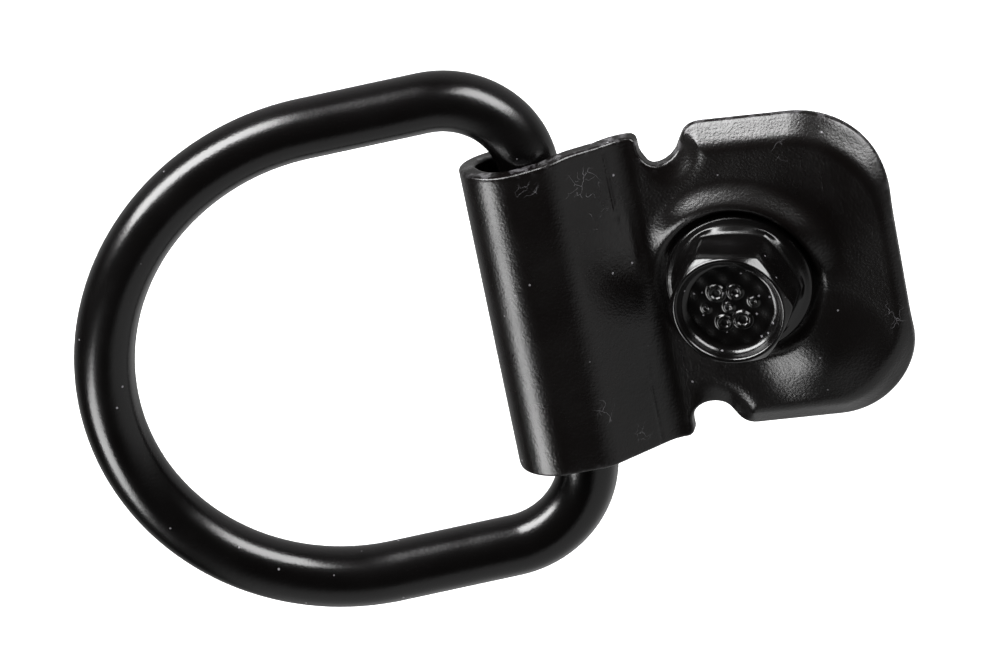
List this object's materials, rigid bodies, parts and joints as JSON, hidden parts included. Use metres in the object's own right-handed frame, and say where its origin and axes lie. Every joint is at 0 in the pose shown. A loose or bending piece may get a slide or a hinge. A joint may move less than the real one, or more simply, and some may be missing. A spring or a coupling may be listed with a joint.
{
  "type": "bolt-on D-ring anchor",
  "caption": "Bolt-on lashing anchor: a bent-rod D-ring swings in the rolled eye of a dished steel plate that a flange bolt holds down.",
  "frame": {"origin": "on the bolt's axis, in the plane that the bracket is bolted to", "axes": "+X from the ring's leg to the free end of the plate, +Z away from the mounting surface, +Y along the leg"},
  "size_m": [0.1072, 0.0722, 0.0465],
  "materials": {
    "ring_coat": "gloss black e-coat",
    "bracket_coat": "satin-gloss black e-coat",
    "bolt_coat": "black-plated, worn bright on the edges"
  },
  "bodies": {
    "bracket": {"bracket": "bracket_coat"},
    "ring": {"d_ring": "ring_coat"},
    "bolt": {"flange_bolt": "bolt_coat"}
  },
  "joints": [
    {"name": "ring_swing", "type": "hinge", "parent": "bracket", "child": "ring", "pos_m": [-0.0242, 0, 0.0065], "axis": [0, 1, 0], "range_deg": [-17, 167]},
    {"name": "bolt_turn", "type": "hinge", "parent": "bracket", "child": "bolt", "pos_m": [0, 0, 0], "axis": [0, 0, 1], "continuous": true}
  ]
}
